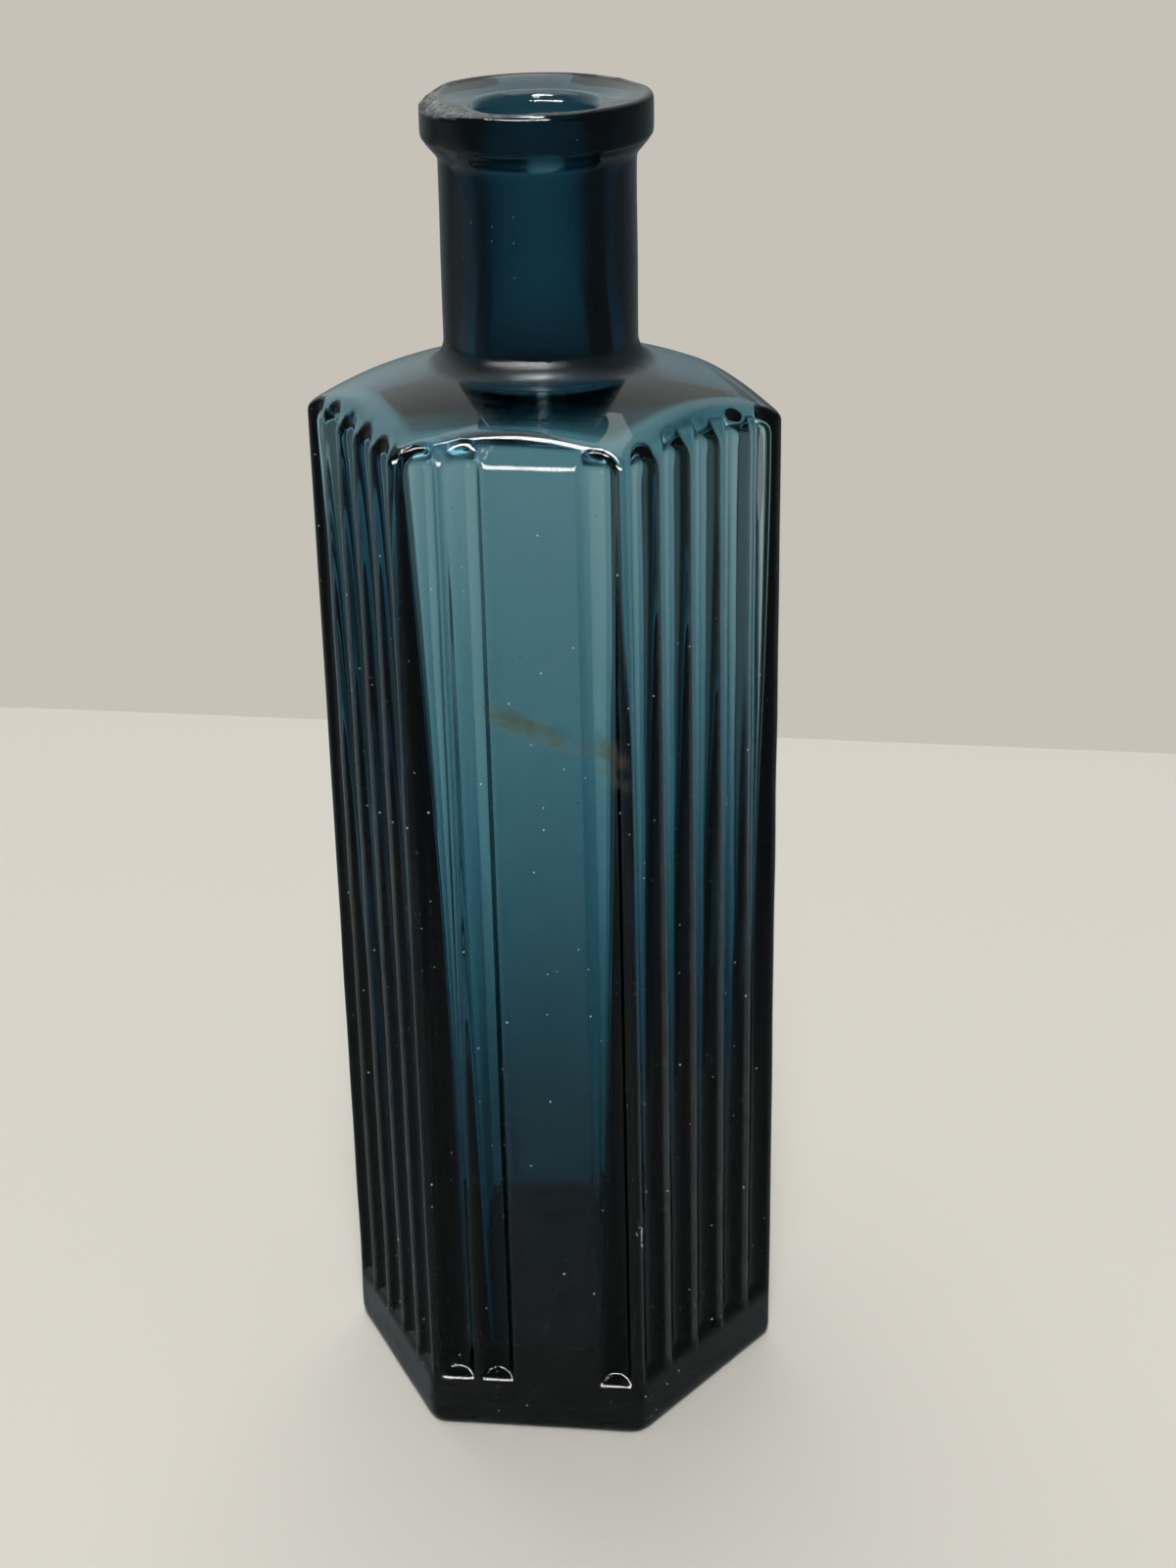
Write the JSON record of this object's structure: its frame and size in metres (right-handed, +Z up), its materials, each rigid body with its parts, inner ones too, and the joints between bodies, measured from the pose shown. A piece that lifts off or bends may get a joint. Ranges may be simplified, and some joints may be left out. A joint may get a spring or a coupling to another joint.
{
  "type": "glass bottle",
  "caption": "Tall hexagonal blown-glass bottle with fluted front panels, domed shoulder, straight neck and an applied flared lip, open at the mouth.",
  "frame": {"origin": "centre of the base, on the plane the bottle stands on", "axes": "+Z up along the neck's axis, -Y out of the front panel, +X to the right seen from the front"},
  "size_m": [0.0592, 0.0516, 0.172],
  "materials": {
    "body_glass": "dense teal-blue blown glass, glossy",
    "lip_glass": "dense teal-blue tooled glass, glossy"
  },
  "bodies": {
    "root": {"glass_body": "body_glass", "applied_lip": "lip_glass"}
  },
  "joints": []
}
